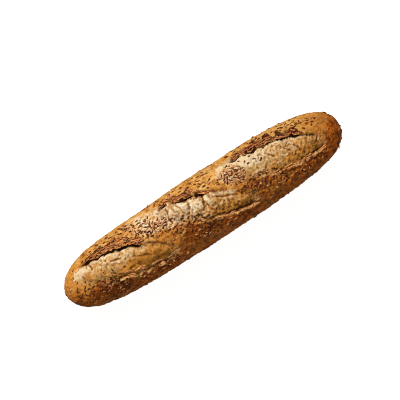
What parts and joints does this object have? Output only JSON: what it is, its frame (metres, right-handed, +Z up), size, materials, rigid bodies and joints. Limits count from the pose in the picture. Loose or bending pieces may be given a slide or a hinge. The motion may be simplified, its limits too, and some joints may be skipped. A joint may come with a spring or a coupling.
{
  "type": "baguette",
  "caption": "Short seeded baguette with blunt rounded ends, a browned crust and long slanting slashes opened along its top.",
  "frame": {"origin": "middle of the flat base, on the surface that the loaf rests on", "axes": "+X along the loaf, +Z up, +Y towards the side on which the slashes' ears lift"},
  "size_m": [0.35, 0.076, 0.063],
  "materials": {
    "crust": "matte",
    "torn_crust": "matte",
    "linseed": "satin"
  },
  "bodies": {
    "root": {"loaf": "crust"}
  },
  "joints": []
}
